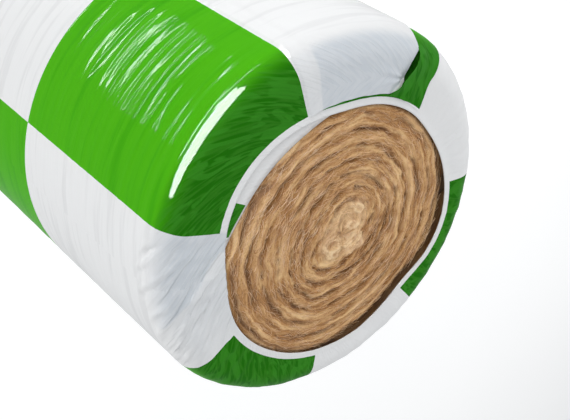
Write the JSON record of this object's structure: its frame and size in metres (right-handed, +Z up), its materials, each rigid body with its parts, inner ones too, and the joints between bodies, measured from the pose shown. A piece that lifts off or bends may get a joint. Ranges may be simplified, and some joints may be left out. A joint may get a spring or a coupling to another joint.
{
  "type": "insulation roll",
  "caption": "Roll of brown glass wool insulation wound without a core and held in a green and white film sleeve that turns in over both ends around a round opening.",
  "frame": {"origin": "on the floor under the middle of the roll, which stands on its end", "axes": "+Z up along the roll's axis towards the end that shows its turns, -Y towards the front, where the film's outer end laps over its start, +X to the right seen from the front"},
  "size_m": [0.4499, 0.4509, 1.2],
  "materials": {
    "glass_wool": "matt loose fibres, light brown with darker lines between the turns",
    "printed_film": "thin glossy polyethylene, opaque white with plain printed green blocks"
  },
  "bodies": {
    "root": {"wool_roll": "glass_wool", "film_wrap": "printed_film"}
  },
  "joints": []
}
